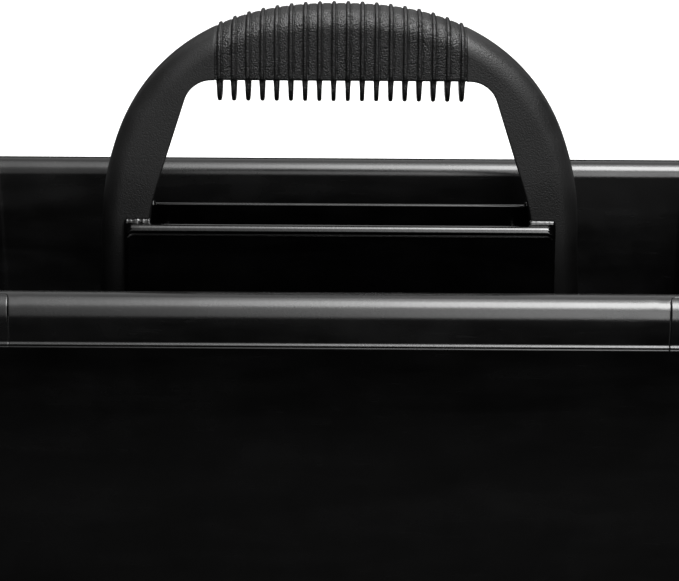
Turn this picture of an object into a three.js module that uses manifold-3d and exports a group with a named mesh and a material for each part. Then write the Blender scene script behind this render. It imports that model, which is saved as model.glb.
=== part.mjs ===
// Tool storage caddy: an open tub with a rolled rim, a centre well between its two
// bays, an arched carrying handle that stands in the ends of the well, and a soft
// finned grip on the handle. Millimetres, +Z up, origin at the centre of the footprint.
// Long side along X. The tub's long side that faces -Y is the front.

import * as THREE from 'three';
import { mergeVertices } from 'three/addons/utils/BufferGeometryUtils.js';
import Module from 'manifold-3d';

const wasm = await Module();
wasm.setup();

// ---------------------------------------------------------------- driving dimensions

const GAP = 0.3;                    // clearance between pieces that rest on each other
const SUNK = 0.5;                   // how far a joined feature reaches into its wall
const FAR = 500;                    // beyond the whole object in every direction

// Tub. Its plan is a rounded rectangle: a core rectangle grown by an offset, with that
// offset as its corner radius.
const CORE_X = 184;                 // half length of the core rectangle
const CORE_Y = 115;                 // half width of the core rectangle
const CORNER_MIN = 8;               // smallest corner radius, used down the walls
const CORNER_STEPS = 8;             // facets in a quarter turn of a corner
const RIM_Z = 168;                  // top of the rolled rim
const ROLL_R = 10;                  // outer radius of the rolled rim
const ROLL_OFFSET = 15;             // offset of the middle of the roll
const TUB_WALL = 3;
const SKIRT_DROP = 23.7;            // rim top to the lower edge of the skirt
const SKIRT_BEAD = 1.5;             // how far the bead on the skirt's edge stands out
const SKIRT_BEAD_H = 3;
const BASE_OFFSET = 0;              // outside of the wall at the base
const BASE_ROUND = 7;
const FOOT_H = 3;                   // the foot ring lifts the floor by this much
const FOOT_W = 3.5;
const FOOT_DRAFT = 1;               // lean of the foot ring's inner side
const FLOOR_ROUND = 4;              // fillet between the wall and the floor inside

// Corner guards: thin caps let flush into the skirt at the four corners.
const GUARD_T = 1;
const GUARD_ARM = 32.5;             // straight run of a guard past the corner's arc
const GUARD_TOP = 78;               // degrees up the roll that a guard reaches
const EDGE_CHAMFER = 0.6;           // at the bottom of the skirt's bead
const BEAD_SLOPE = 1.2;             // height over which the bead runs back to the skirt

// Centre well.
const WELL_X = 105;                 // half length of the side walls
const WELL_Y = 21.3;                // middle of a side wall
const WELL_WALL = 2.6;
const LIP_R = 2.1;
const LIP_Z = RIM_Z + 1.4;          // axis of the rounded lip
const FLANGE_X = 132;               // the floor runs on under the legs
const FLANGE_Y = 26;
const FLANGE_T = 3;
const END_WALL_X = 89;              // outside of the well's end walls
const END_WALL_TOP = RIM_Z - 8;
const LUG_X0 = 93;                  // guide lugs beside each leg, from here
const LUG_X1 = 104.4;               // to here
const LUG_TOP = RIM_Z + 5.8;
const LUG_ROUND = 2;

// Handle.
const ARCH_X = 118.4;               // half span of the arch
const ARCH_Z = RIM_Z - 8;           // level at which the arch meets the legs
const ARCH_H = 117;                 // rise of the arch above that level
const ARCH_POWER = 2.35;            // exponent of the superelliptic arch
const ARCH_STEPS = 18;              // facets in half of the arch
const LEG_X = 126;                  // outside of a leg at its foot
const LEG_MIDDLE_Z = ARCH_Z - 40;   // a further level at which the leg's outline is drawn
const LEG_OVERRUN = 30;             // legs are drawn this far below their feet, then cut
const HANDLE_D = 32;                // depth from front to back
const HANDLE_ROUND = 9;             // rounding of the outer edges
const HANDLE_SHELL = 3.1;           // wall of the hollow legs
const OPENING_Z = RIM_Z + 74.6;     // underside of the grip
const OPENING_CORNERS = [           // half of the finger opening: x, z, rounding
  [73.3, OPENING_Z, 14],
  [95, RIM_Z + 6.5, 110],
];
const LEG_INNER_X = 102;            // inside of a leg at its foot
const LEG_RIB_T = 2;
const LEG_RIB_SETBACK = 3.5;
const LEG_RIB_COUNT = 7;
const LEG_RIB_Z0 = 58;              // lowest cross rib
const LEG_RIB_PITCH = 24;
const LEG_FOOT_T = 3;

// Grip.
const GRIP_X = 61.5;                // half length of the sleeve
const GRIP_WALL = 3;
const HOLLOW_FROM_X = GRIP_X + 4;   // the legs are hollow from here outwards
const RIB_COUNT = 18;
const RIB_PITCH = 7;
const RIB_T = 2.4;
const BEAD_PROUD = 1;
const FIN_Z = OPENING_Z - 12.9;     // lowest point of the fins
const FIN_HALF_Y = 14;
const FIN_ROUND_H = 9;              // height of a fin's round lower edge
const FIN_STEPS = 8;

// Handle screws, driven up through the floor into bosses in the legs.
const SCREW_X = 114.5;
const SCREW_Y = 8;
const SCREW_R = 2;
const SCREW_TIP = 34;
const TIP_TAPER = 2.5;
const PILOT_SPARE = 1;              // the hole in a boss runs on past the tip
const HEAD_R = 4.4;
const HEAD_BOTTOM = 0.5;
const HEAD_H = 2.1;
const HEAD_BEVEL = 0.9;
const CLEARANCE_R = 2.6;
const BOSS_R = 4.6;
const BOSS_H = 30;

const FLOOR_Z = FOOT_H + TUB_WALL;
const FLANGE_Z = FLOOR_Z + GAP;
const WELL_FLOOR_Z = FLANGE_Z + FLANGE_T;
const LEG_FOOT_Z = WELL_FLOOR_Z + GAP;
const OUTER_OFFSET = ROLL_OFFSET + ROLL_R;
const SKIRT_BOTTOM = RIM_Z - SKIRT_DROP;
const ROLL_Z = RIM_Z - ROLL_R;

// ---------------------------------------------------------------- materials

const glossBlack = new THREE.MeshStandardMaterial({
  color: 0x0b0b0c, roughness: 0.32, metalness: 0 });
const grainBlack = new THREE.MeshStandardMaterial({
  color: 0x17181a, roughness: 0.72, metalness: 0 });
const softBlack = new THREE.MeshStandardMaterial({
  color: 0x141416, roughness: 0.85, metalness: 0 });
const zincSteel = new THREE.MeshStandardMaterial({
  color: 0x9a9b98, roughness: 0.35, metalness: 1 });

// ---------------------------------------------------------------- solids

function toSolid(geometry) {
  const bare = geometry.index ? geometry.toNonIndexed() : geometry.clone();
  bare.deleteAttribute('normal');
  bare.deleteAttribute('uv');
  const merged = mergeVertices(bare, 1e-4);
  const mesh = new wasm.Mesh({
    numProp: 3,
    vertProperties: new Float32Array(merged.attributes.position.array),
    triVerts: new Uint32Array(merged.index.array),
  });
  return new wasm.Manifold(mesh);
}

function toGeometry(solid) {
  const mesh = solid.getMesh();
  const geometry = new THREE.BufferGeometry();
  geometry.setAttribute('position', new THREE.BufferAttribute(mesh.vertProperties, 3));
  geometry.setIndex(new THREE.BufferAttribute(mesh.triVerts, 1));
  geometry.computeVertexNormals();
  return geometry;
}

function union(solids) {
  return solids.reduce((joined, solid) => joined.add(solid));
}

function box(low, high) {
  const size = high.map((value, axis) => value - low[axis]);
  const geometry = new THREE.BoxGeometry(...size);
  geometry.translate(...low.map((value, axis) => value + size[axis] / 2));
  return toSolid(geometry);
}

function uprightCylinder(x, y, z0, z1, radius, sides = 16) {
  const geometry = new THREE.CylinderGeometry(radius, radius, z1 - z0, sides);
  geometry.rotateX(Math.PI / 2);
  geometry.translate(x, y, (z0 + z1) / 2);
  return toSolid(geometry);
}

// Triangles over a flat outline, wound the same way as the outline itself.
function capTriangles(outline) {
  const points = outline.map(([a, b]) => new THREE.Vector2(a, b));
  const cap = THREE.ShapeUtils.triangulateShape(points, []);
  const area = (indices) => THREE.ShapeUtils.area(indices.map((i) => points[i]));
  const sameWay = area(cap[0]) * area(Object.keys(points)) > 0;
  return cap.map(([a, b, c]) => (sameWay ? [a, b, c] : [a, c, b]));
}

// Joins rings of equal length into a skin. The outline is one ring laid flat, and
// its triangles close the two ends.
function loft(rings, outline) {
  const count = outline.length;
  const triangles = [];
  for (let ring = 0; ring + 1 < rings.length; ring += 1) {
    for (let i = 0; i < count; i += 1) {
      const next = (i + 1) % count;
      const a = ring * count + i;
      const b = ring * count + next;
      triangles.push(a, b, b + count, a, b + count, a + count);
    }
  }
  const last = (rings.length - 1) * count;
  for (const [a, b, c] of capTriangles(outline)) {
    triangles.push(a, c, b, last + a, last + b, last + c);
  }
  const geometry = new THREE.BufferGeometry();
  geometry.setAttribute('position', new THREE.Float32BufferAttribute(rings.flat(2), 3));
  geometry.setIndex(triangles);
  return geometry;
}

// ---------------------------------------------------------------- flat curves

// Points [a, b] on a circular arc, angles in degrees.
function arc(a, b, radius, from, to, steps) {
  const points = [];
  for (let i = 0; i <= steps; i += 1) {
    const angle = THREE.MathUtils.degToRad(from + (to - from) * i / steps);
    points.push([a + radius * Math.cos(angle), b + radius * Math.sin(angle)]);
  }
  return points;
}

// Moves every point of an open path sideways, to the left of its direction.
function shiftPath(points, distance) {
  return points.map((point, i) => {
    const before = points[Math.max(i - 1, 0)];
    const after = points[Math.min(i + 1, points.length - 1)];
    const along = new THREE.Vector2(after[0] - before[0], after[1] - before[1]).normalize();
    return [point[0] - along.y * distance, point[1] + along.x * distance];
  });
}

// Replaces the corner at b, between a and c, by an arc of the given radius.
function roundCorner(a, b, c, radius, steps) {
  const corner = new THREE.Vector2(...b);
  const toA = new THREE.Vector2(...a).sub(corner).normalize();
  const toC = new THREE.Vector2(...c).sub(corner).normalize();
  const half = Math.acos(toA.dot(toC)) / 2;
  const bisector = toA.clone().add(toC).normalize();
  const centre = corner.clone().addScaledVector(bisector, radius / Math.sin(half));
  const start = corner.clone().addScaledVector(toA, radius / Math.tan(half)).sub(centre);
  const end = corner.clone().addScaledVector(toC, radius / Math.tan(half)).sub(centre);
  const from = THREE.MathUtils.radToDeg(start.angle());
  let to = THREE.MathUtils.radToDeg(end.angle());
  if (to - from > 180) to -= 360;
  if (from - to > 180) to += 360;
  return arc(centre.x, centre.y, radius, from, to, steps);
}

// Mirrors a path that runs from the middle out to the right into a whole one.
function mirrored(half) {
  const left = half.map(([x, z]) => [-x, z]).reverse();
  return left.concat(half.filter(([x]) => x > 1e-6));
}

// ---------------------------------------------------------------- tub

// The tub's plan at a given offset, as a ring of points at height z.
function planRing(offset, z) {
  const radius = Math.max(offset, CORNER_MIN);
  const centreX = CORE_X + offset - radius;
  const centreY = CORE_Y + offset - radius;
  const ring = [];
  const corners = [[1, 1, 0], [-1, 1, 90], [-1, -1, 180], [1, -1, 270]];
  for (const [sx, sy, from] of corners) {
    for (const [x, y] of arc(sx * centreX, sy * centreY, radius, from, from + 90, CORNER_STEPS)) {
      ring.push([x, y, z]);
    }
  }
  return ring;
}

const CORNERS = [-1, 1].flatMap((sx) => [-1, 1].map((sy) => [sx, sy]));

function screwPlaces() {
  return CORNERS.map(([sx, sy]) => [sx * SCREW_X, sy * SCREW_Y]);
}

function drillForScrews(solid) {
  return screwPlaces().reduce((drilled, [x, y]) => (
    drilled.subtract(uprightCylinder(x, y, -FAR, WELL_FLOOR_Z + GAP / 2, CLEARANCE_R))), solid);
}

function tub() {
  const footOut = BASE_OFFSET - BASE_ROUND;
  const innerBase = BASE_OFFSET - TUB_WALL;
  const bead = OUTER_OFFSET + SKIRT_BEAD;
  const skirtIn = OUTER_OFFSET - TUB_WALL;
  const profile = [
    [footOut - FOOT_W - FOOT_DRAFT, FOOT_H],
    [footOut - FOOT_W, 0],
    ...arc(footOut, BASE_ROUND, BASE_ROUND, -90, 0, 4),
    ...arc(ROLL_OFFSET, ROLL_Z, ROLL_R - TUB_WALL, 180, 0, 6),
    [skirtIn, SKIRT_BOTTOM],
    [bead - EDGE_CHAMFER, SKIRT_BOTTOM],
    [bead, SKIRT_BOTTOM + EDGE_CHAMFER],
    [bead, SKIRT_BOTTOM + SKIRT_BEAD_H - BEAD_SLOPE],
    [OUTER_OFFSET, SKIRT_BOTTOM + SKIRT_BEAD_H],
    ...arc(ROLL_OFFSET, ROLL_Z, ROLL_R, 0, 180, 10),
    ...arc(innerBase - FLOOR_ROUND, FLOOR_Z + FLOOR_ROUND, FLOOR_ROUND, 0, -90, 3),
  ];
  const rings = profile.map(([offset, z]) => planRing(offset, z));
  const whole = drillForScrews(toSolid(loft(rings, rings[0])));
  return CORNERS.reduce((cut, [sx, sy]) => cut.subtract(guardPocket(sx, sy)), whole);
}

// ---------------------------------------------------------------- corner guards

// The skirt's outside as a path of [offset, z], moved outwards by a lift, from the
// given angle up the roll down to the underside of the skirt.
function skirtPath(lift, top) {
  const bead = OUTER_OFFSET + SKIRT_BEAD;
  return [
    ...arc(ROLL_OFFSET, ROLL_Z, ROLL_R + lift, top, 0, 6),
    [OUTER_OFFSET + lift, SKIRT_BOTTOM + SKIRT_BEAD_H + lift / 2],
    [bead + lift, SKIRT_BOTTOM + SKIRT_BEAD_H - BEAD_SLOPE + lift / 2],
    [bead + lift, SKIRT_BOTTOM],
  ];
}

// Sweeps the band between two lifts of the skirt's outside round one corner.
function cornerBand(sx, sy, low, high, top, arm) {
  const section = skirtPath(low, top).concat(skirtPath(high, top).reverse());
  const stations = [[0, 0, -arm]];
  for (let i = 0; i <= CORNER_STEPS; i += 1) stations.push([i / CORNER_STEPS * 90, 0, 0]);
  stations.push([90, -arm, 0]);
  const rings = stations.map(([degrees, dx, dy]) => {
    const angle = THREE.MathUtils.degToRad(degrees);
    return section.map(([offset, z]) => [
      sx * (CORE_X + offset * Math.cos(angle) + dx),
      sy * (CORE_Y + offset * Math.sin(angle) + dy), z]);
  });
  return toSolid(loft(sx * sy < 0 ? rings : rings.reverse(), section));
}

function cornerGuard(sx, sy) {
  return cornerBand(sx, sy, -GUARD_T, 0, GUARD_TOP, GUARD_ARM);
}

// The rebate for a guard: its own band with a clearance all round, open to the outside.
function guardPocket(sx, sy) {
  const depth = GUARD_T + GAP;
  const top = GUARD_TOP + THREE.MathUtils.radToDeg(GAP / ROLL_R);
  const lowEnd = box([-FAR, -FAR, 0], [FAR, FAR, SKIRT_BOTTOM + SUNK]);
  const band = cornerBand(sx, sy, -depth, SUNK, top, GUARD_ARM + GAP);
  return band.add(cornerBand(sx, sy, -depth, SUNK, 0, GUARD_ARM + GAP)
    .intersect(lowEnd).translate([0, 0, -SUNK]));
}

// ---------------------------------------------------------------- centre well

// A guide lug that fills the gap between a side wall and a leg, rounded at the top.
function guideLug(end, side) {
  const low = [LUG_X0, WELL_FLOOR_Z - SUNK];
  const high = [LUG_X1, WELL_FLOOR_Z - SUNK];
  const topLow = [LUG_X0, LUG_TOP];
  const topHigh = [LUG_X1, LUG_TOP];
  const outline = [low, high, ...roundCorner(high, topHigh, topLow, LUG_ROUND, 3),
    ...roundCorner(topHigh, topLow, low, LUG_ROUND, 3)];
  const near = HANDLE_D / 2 + GAP;
  const depth = WELL_Y - WELL_WALL / 2 + SUNK - near;
  const shape = new THREE.Shape(outline.map(([x, z]) => new THREE.Vector2(end * x, z)));
  const geometry = new THREE.ExtrudeGeometry(shape, { depth, steps: 1, bevelEnabled: false });
  geometry.rotateX(Math.PI / 2);
  geometry.translate(0, side > 0 ? near + depth : -near, 0);
  return toSolid(geometry);
}

function sideWall(side) {
  const low = side * WELL_Y - WELL_WALL / 2;
  const wall = box([-WELL_X, low, FLANGE_Z + SUNK], [WELL_X, low + WELL_WALL, LIP_Z]);
  const lip = new THREE.CapsuleGeometry(LIP_R, 2 * (WELL_X - LIP_R), 3, 12);
  lip.rotateZ(Math.PI / 2);
  lip.translate(0, side * WELL_Y, LIP_Z);
  return union([wall, toSolid(lip), guideLug(-1, side), guideLug(1, side)]);
}

function endWall(end) {
  const low = Math.min(end * END_WALL_X, end * (END_WALL_X - WELL_WALL));
  return box([low, -WELL_Y, WELL_FLOOR_Z - SUNK], [low + WELL_WALL, WELL_Y, END_WALL_TOP]);
}

function centreWell() {
  const flange = box([-FLANGE_X, -FLANGE_Y, FLANGE_Z], [FLANGE_X, FLANGE_Y, WELL_FLOOR_Z]);
  return drillForScrews(union([flange, sideWall(-1), sideWall(1), endWall(-1), endWall(1)]));
}

// ---------------------------------------------------------------- handle

// Half of the arch's outline, from the top over the shoulder and down the leg.
function archHalf() {
  const points = [];
  for (let i = 0; i <= ARCH_STEPS; i += 1) {
    const angle = Math.PI / 2 * i / ARCH_STEPS;
    const across = Math.sin(angle) / ARCH_X;
    const up = Math.cos(angle) / ARCH_H;
    const reach = (across ** ARCH_POWER + up ** ARCH_POWER) ** (-1 / ARCH_POWER);
    points.push([reach * Math.sin(angle), ARCH_Z + reach * Math.cos(angle)]);
  }
  const slope = (LEG_X - ARCH_X) / (ARCH_Z - LEG_FOOT_Z);
  const below = LEG_FOOT_Z - LEG_OVERRUN;
  for (const z of [LEG_MIDDLE_Z, below]) points.push([ARCH_X + slope * (ARCH_Z - z), z]);
  return points;
}

// The whole arch as a filled block, grown by an amount and rounded at its outer edges.
function archBlock(grow, depth, round) {
  const outline = shiftPath(mirrored(archHalf()), grow);
  const shape = new THREE.Shape(outline.map(([x, z]) => new THREE.Vector2(x, z)));
  const geometry = new THREE.ExtrudeGeometry(shape, {
    depth: depth - 2 * round, steps: 1, bevelEnabled: true, bevelThickness: round,
    bevelSize: round, bevelOffset: -round, bevelSegments: 3 });
  geometry.rotateX(Math.PI / 2);
  geometry.translate(0, depth / 2 - round, 0);
  return toSolid(geometry);
}

// The finger opening and the space between the legs, cut right through.
function openingBlock(grow, depth) {
  const [top, waist] = OPENING_CORNERS;
  const foot = [LEG_INNER_X, LEG_FOOT_Z];
  const lean = (LEG_INNER_X - waist[0]) / (waist[1] - LEG_FOOT_Z);
  const half = [
    [0, OPENING_Z],
    ...roundCorner([0, OPENING_Z], top, waist, top[2], 6),
    ...roundCorner(top, waist, foot, waist[2], 4),
    foot,
    [LEG_INNER_X + lean * LEG_OVERRUN, LEG_FOOT_Z - LEG_OVERRUN],
  ];
  const outline = shiftPath(mirrored(half), grow);
  const shape = new THREE.Shape(outline.map(([x, z]) => new THREE.Vector2(x, z)));
  const geometry = new THREE.ExtrudeGeometry(shape, { depth, steps: 1, bevelEnabled: false });
  geometry.rotateX(Math.PI / 2);
  geometry.translate(0, depth / 2, 0);
  return toSolid(geometry);
}

// The bar inside the grip, smaller than the handle all round.
function coreBar(inset, halfLength) {
  const rounded = archBlock(-inset, HANDLE_D - 2 * inset, HANDLE_ROUND - inset);
  const floor = OPENING_Z + inset;
  return rounded.intersect(box([-halfLength, -FAR, floor], [halfLength, FAR, FAR]));
}

// The space inside the hollow legs, leaving the given wall round it.
function legRoom(wall) {
  const aboveFootPlate = box([-FAR, -FAR, LEG_FOOT_Z + LEG_FOOT_T], [FAR, FAR, FAR]);
  const solidMiddle = box([-HOLLOW_FROM_X, -FAR, 0], [HOLLOW_FROM_X, FAR, FAR]);
  return archBlock(-wall, HANDLE_D - 2 * wall, HANDLE_ROUND - wall)
    .intersect(aboveFootPlate).subtract(solidMiddle);
}

// Level cross ribs inside the legs, set back from the open side.
function legRibs() {
  const ribRoom = legRoom(HANDLE_SHELL - SUNK).subtract(openingBlock(LEG_RIB_SETBACK, HANDLE_D));
  const slabs = [];
  for (let i = 0; i < LEG_RIB_COUNT; i += 1) {
    const z = LEG_RIB_Z0 + i * LEG_RIB_PITCH;
    slabs.push(box([-FAR, -FAR, z], [FAR, FAR, z + LEG_RIB_T]));
  }
  return union(slabs).intersect(ribRoom);
}

function handle() {
  const gripEnd = GRIP_X + GAP;
  const gripRoom = box([-gripEnd, -FAR, ARCH_Z], [gripEnd, FAR, FAR]);
  const aboveFoot = box([-FAR, -FAR, LEG_FOOT_Z], [FAR, FAR, FAR]);
  const shell = archBlock(0, HANDLE_D, HANDLE_ROUND).intersect(aboveFoot)
    .subtract(openingBlock(0, 2 * HANDLE_D)).subtract(gripRoom).subtract(legRoom(HANDLE_SHELL));
  const core = coreBar(GRIP_WALL + GAP, HOLLOW_FROM_X - SUNK);
  const bosses = screwPlaces().map(([x, y]) => (
    uprightCylinder(x, y, LEG_FOOT_Z, LEG_FOOT_Z + BOSS_H, BOSS_R, 12)));
  return screwPlaces().reduce((drilled, [x, y]) => (
    drilled.subtract(uprightCylinder(x, y, 0, SCREW_TIP + PILOT_SPARE, SCREW_R + GAP))),
  union([shell, legRibs(), core, ...bosses]));
}

// ---------------------------------------------------------------- grip

// One fin: a plate across the grip with a round lower edge.
function fin(x) {
  const top = OPENING_Z + SUNK;
  const springZ = FIN_Z + FIN_ROUND_H;
  const outline = [[-FIN_HALF_Y, top]];
  for (let i = 0; i <= FIN_STEPS; i += 1) {
    const angle = Math.PI * i / FIN_STEPS;
    outline.push([-FIN_HALF_Y * Math.cos(angle), springZ - FIN_ROUND_H * Math.sin(angle)]);
  }
  outline.push([FIN_HALF_Y, top]);
  const shape = new THREE.Shape(outline.map(([y, z]) => new THREE.Vector2(y, z)));
  const geometry = new THREE.ExtrudeGeometry(shape, { depth: RIB_T, steps: 1, bevelEnabled: false });
  geometry.rotateX(Math.PI / 2);
  geometry.rotateZ(Math.PI / 2);
  geometry.translate(x - RIB_T / 2, 0, 0);
  return toSolid(geometry);
}

function gripSleeve() {
  const sleeveRoom = box([-GRIP_X, -FAR, OPENING_Z], [GRIP_X, FAR, FAR]);
  const beadSkin = archBlock(BEAD_PROUD, HANDLE_D + 2 * BEAD_PROUD, HANDLE_ROUND + BEAD_PROUD);
  const beadSlabs = [];
  const fins = [];
  for (let i = 0; i < RIB_COUNT; i += 1) {
    const x = (i - (RIB_COUNT - 1) / 2) * RIB_PITCH;
    beadSlabs.push(box([x - RIB_T / 2, -FAR, OPENING_Z], [x + RIB_T / 2, FAR, FAR]));
    fins.push(fin(x));
  }
  const body = archBlock(0, HANDLE_D, HANDLE_ROUND).intersect(sleeveRoom);
  const beads = union(beadSlabs).intersect(beadSkin);
  return union([body, beads, ...fins]).subtract(coreBar(GRIP_WALL, HOLLOW_FROM_X));
}

// ---------------------------------------------------------------- screws

function screw() {
  const headTop = HEAD_BOTTOM + HEAD_H;
  const outline = [
    [0, HEAD_BOTTOM],
    [HEAD_R - HEAD_BEVEL, HEAD_BOTTOM],
    [HEAD_R, HEAD_BOTTOM + HEAD_BEVEL],
    [HEAD_R, headTop],
    [SCREW_R, headTop],
    [SCREW_R, SCREW_TIP - TIP_TAPER],
    [0, SCREW_TIP],
  ];
  const geometry = new THREE.LatheGeometry(outline.map(([r, z]) => new THREE.Vector2(r, z)), 16);
  geometry.rotateX(Math.PI / 2);
  return toGeometry(toSolid(geometry));
}

// ---------------------------------------------------------------- assembly

const caddy = new THREE.Group();

function addPiece(name, geometry, material) {
  const mesh = new THREE.Mesh(geometry, material);
  mesh.name = name;
  caddy.add(mesh);
  return mesh;
}

addPiece('tub', toGeometry(tub()), glossBlack);
addPiece('centre_well', toGeometry(centreWell()), glossBlack);
addPiece('handle', toGeometry(handle()), grainBlack);
addPiece('grip_sleeve', toGeometry(gripSleeve()), softBlack);

const sideX = { left: -1, right: 1 };
const sideY = { front: -1, back: 1 };
for (const [xName, sx] of Object.entries(sideX)) {
  for (const [yName, sy] of Object.entries(sideY)) {
    const guard = toGeometry(cornerGuard(sx, sy));
    addPiece(`corner_guard_${yName}_${xName}`, guard, glossBlack);
    const fastener = addPiece(`handle_screw_${yName}_${xName}`, screw(), zincSteel);
    fastener.position.set(sx * SCREW_X, sy * SCREW_Y, 0);
  }
}

export default caddy;
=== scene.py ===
"""Looks of the tool storage caddy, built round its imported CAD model.

Lengths in the builders are millimetres in the part's own frame. Places and overall
sizes come from the CAD nodes' boxes, and a mesh is turned into metres when it is made.
"""

import math

import bmesh
import bpy
import numpy as np
from mathutils import Euler, Matrix, Vector, noise


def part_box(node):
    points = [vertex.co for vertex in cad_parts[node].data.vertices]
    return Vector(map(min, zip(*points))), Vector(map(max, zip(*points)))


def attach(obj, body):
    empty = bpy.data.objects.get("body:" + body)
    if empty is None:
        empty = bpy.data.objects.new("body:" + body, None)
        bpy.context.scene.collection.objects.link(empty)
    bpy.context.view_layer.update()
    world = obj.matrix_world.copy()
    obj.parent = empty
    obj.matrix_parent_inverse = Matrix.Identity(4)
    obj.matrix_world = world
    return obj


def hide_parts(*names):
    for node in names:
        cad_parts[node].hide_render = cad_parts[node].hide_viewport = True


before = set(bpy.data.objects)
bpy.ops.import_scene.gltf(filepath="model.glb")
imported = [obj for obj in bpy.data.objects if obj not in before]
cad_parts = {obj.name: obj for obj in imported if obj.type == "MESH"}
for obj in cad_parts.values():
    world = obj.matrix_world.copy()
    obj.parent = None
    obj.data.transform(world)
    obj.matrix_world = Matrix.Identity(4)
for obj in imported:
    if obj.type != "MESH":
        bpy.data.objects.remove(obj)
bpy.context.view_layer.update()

MM = 0.001


def node_box(name):
    """Lowest and highest corner of a CAD node, in millimetres."""
    low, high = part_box(name)
    return np.array(low) / MM, np.array(high) / MM


tub_low, tub_high = node_box("tub")
well_low, well_high = node_box("centre_well")
handle_low, handle_high = node_box("handle")
grip_low, grip_high = node_box("grip_sleeve")

# ---------------------------------------------------------------- dimensions

# Tub: a core rectangle grown by an offset gives its plan at every height. The rim is a
# roll with a skirt outside. Its inner half is tighter, and INNER_OFFSET is the inner wall.
SKIRT_BEAD = 1.5
ROLL_OFFSET = 15.0
CORNER_MIN = 8.0
ROLL_R = 10.0
ROLL_IN_R = 8.0
INNER_OFFSET = 6.0
TUB_WALL = 3.0
OUTER = ROLL_OFFSET + ROLL_R
CORE_X = tub_high[0] - OUTER - SKIRT_BEAD
CORE_Y = tub_high[1] - OUTER - SKIRT_BEAD
RIM_Z = tub_high[2]
ROLL_Z = RIM_Z - ROLL_R
SKIRT_BOTTOM = RIM_Z - 23.8
BASE_OFFSET = 0.0
BASE_ROUND = 7.0
FOOT_H = 3.0
FOOT_W = 3.5
FLOOR_Z = FOOT_H + TUB_WALL

# Centre well: a flanged floor, two side walls with lips, two end walls and four lugs.
# The lips' ends turn down, by less and less down to LIP_BEND_LOW.
WELL_X = 105.0
WELL_Y = 21.3
WELL_WALL = 2.6
LIP_OUT_R = 2.9
LIP_IN_R = 0.9
LIP_TOP = RIM_Z + 3.4
LIP_BEND = 3.2
LIP_BEND_SPAN = 40.0
LIP_BEND_LOW = RIM_Z + 1.3 - LIP_BEND_SPAN
FLANGE_T = 3.0
WELL_FLOOR_Z = well_low[2] + FLANGE_T
WELL_SINK = 0.5
FLANGE_ROUND = 8.0
END_WALL_X = 89.0
LUG_X = (93.0, 106.5)
LUG_TOP = well_high[2]
LUG_SIDE_TOP = RIM_Z - 0.7
LUG_EDGE = 1.6

# Handle: a superellipse arch on two tapering legs, hollow and open to the inside.
LEG_X = handle_high[0]
ARCH_X = LEG_X - 7.6
ARCH_Z = RIM_Z - 8.0
ARCH_H = 117.0
ARCH_POWER = 2.35
HALF_D = handle_high[1]
HANDLE_ROUND = 9.0
HANDLE_SHELL = 3.1
OPENING_Z = RIM_Z + 74.6
LEG_INNER_X = 102.0
FOOT_Z = handle_low[2]
RIB_LEVELS = [58.0 + 24.0 * i for i in range(7)]
SCREW_X = 114.5
SCREW_Y = 8.0
BOSS_R = 4.6
BOSS_TOP = FOOT_Z + 30.0

# Grip: a sleeve round the top of the arch, with beads outside and a fin under each.
GRIP_X = grip_high[0]
GRIP_WALL = 3.0
BEAD_PROUD = grip_high[2] - ARCH_Z - ARCH_H
RIB_COUNT = 18
RIB_PITCH = 7.0
FIN_Z = grip_low[2]
FIN_HALF_Y = 14.0
FIN_ROUND_H = 9.0
RIB_PLACES = [(i - (RIB_COUNT - 1) / 2) * RIB_PITCH for i in range(RIB_COUNT)]

# Corner guards, let into the skirt. GUARD_TOP and GUARD_BARE are degrees of the roll.
GUARD_T = 1.0
GUARD_ARM = 32.5
GUARD_TOP = 78.0
GUARD_BARE = 1.2
GUARD_ROUND = 3.2
REBATE = 1.15
SEAM_GAP = 0.05

# ---------------------------------------------------------------- flat curves


def arc(a, b, radius, start, end, steps):
    """Points on a circular arc round (a, b), angles in degrees."""
    angles = np.radians(np.linspace(start, end, steps + 1))
    return [(a + radius * math.cos(t), b + radius * math.sin(t)) for t in angles]


def line(start, end, steps):
    """Evenly spaced points from start to end."""
    return [tuple(p) for p in np.linspace(start, end, steps + 1)]


def round_corner(a, b, c, radius, steps):
    """The arc that replaces the corner at b, between a and c."""
    a, b, c = (np.array(p, float) for p in (a, b, c))
    to_a = (a - b) / np.linalg.norm(a - b)
    to_c = (c - b) / np.linalg.norm(c - b)
    half = math.acos(float(to_a @ to_c)) / 2
    centre = b + (to_a + to_c) / np.linalg.norm(to_a + to_c) * radius / math.sin(half)
    start = b + to_a * radius / math.tan(half) - centre
    end = b + to_c * radius / math.tan(half) - centre
    first = math.degrees(math.atan2(start[1], start[0]))
    turn = math.degrees(math.atan2(end[1], end[0])) - first
    turn = (turn + 180) % 360 - 180
    return arc(centre[0], centre[1], radius, first, first + turn, steps)


def smooth_step(t):
    """0 below 0, 1 above 1, and an even S between."""
    t = min(max(t, 0.0), 1.0)
    return t * t * (3 - 2 * t)


# ---------------------------------------------------------------- meshes


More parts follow.
